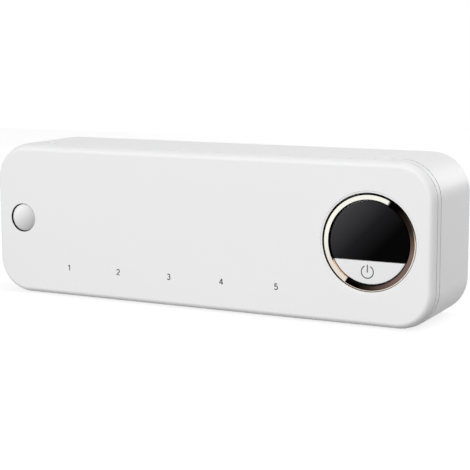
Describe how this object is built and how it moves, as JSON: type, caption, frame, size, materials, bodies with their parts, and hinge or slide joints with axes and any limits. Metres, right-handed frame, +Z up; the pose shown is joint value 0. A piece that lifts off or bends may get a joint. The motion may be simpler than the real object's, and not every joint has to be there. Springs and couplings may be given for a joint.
{
  "type": "uv toothbrush sterilizer",
  "caption": "Long rounded white ultraviolet toothbrush sterilizer with a lift-up front cover, round display with power button, motion sensor and a slotted brush chamber.",
  "frame": {"origin": "on the underside, below the middle of the object's box", "axes": "+X along the length towards the display, +Y to the back (the front cover faces -Y), +Z up"},
  "size_m": [0.26, 0.0558, 0.0848],
  "materials": {
    "shell_white": "white ABS, moulded, satin gloss",
    "inner_white": "white ABS, moulded, fine matt",
    "champagne_metal": "champagne anodised, turned and polished",
    "display_black": "black printed glass, polished",
    "milky_lens": "milky polyethylene, moulded",
    "bright_steel": "nickel-plated steel",
    "mirror_sheet": "polished aluminium sheet",
    "clear_window": "clear quartz-like window",
    "emitter": "clear lens over a small emitter",
    "board_green": "green circuit board",
    "dark_plastic": "black moulded plastic",
    "cell_sleeve": "shrink sleeve"
  },
  "bodies": {
    "housing": {"main_housing": "shell_white", "rear_cover": "shell_white", "chamber_liner": "inner_white", "reflector_sheet": "mirror_sheet", "brush_rack": "inner_white", "lamp_strip": "board_green", "lamp_window": "clear_window", "lamp_emitter_1": "emitter", "lamp_emitter_2": "emitter", "lamp_emitter_3": "emitter", "lamp_emitter_4": "emitter", "lamp_emitter_5": "emitter", "left_bay_cover": "inner_white", "right_bay_cover": "inner_white", "display_ring": "champagne_metal", "display_glass": "display_black", "display_module": "dark_plastic", "switch_body": "dark_plastic", "main_board": "board_green", "charging_socket": "bright_steel", "sensor_lens": "milky_lens", "sensor_can": "bright_steel", "sensor_board": "board_green", "power_cell": "cell_sleeve", "cell_cradle": "dark_plastic", "hinge_pin_left": "bright_steel", "hinge_pin_right": "bright_steel", "steel_keeper_left": "bright_steel", "steel_keeper_right": "bright_steel", "rear_screw_1": "bright_steel", "rear_screw_2": "bright_steel", "rear_screw_3": "bright_steel", "rear_screw_4": "bright_steel"},
    "cover": {"front_cover_panel": "shell_white", "front_cover_frame": "shell_white", "cover_magnet_left": "bright_steel", "cover_magnet_right": "bright_steel"},
    "button": {"power_button": "shell_white", "switch_plunger": "dark_plastic"}
  },
  "joints": [
    {"name": "cover_hinge", "type": "hinge", "parent": "housing", "child": "cover", "pos_m": [0, -0.0148, 0.0818], "axis": [-1, 0, 0], "range_deg": [0, 90]},
    {"name": "power_press", "type": "slide", "parent": "housing", "child": "button", "axis": [0, 1, 0], "range_m": [0, 0.0008], "stiffness_N_per_m": 400}
  ]
}
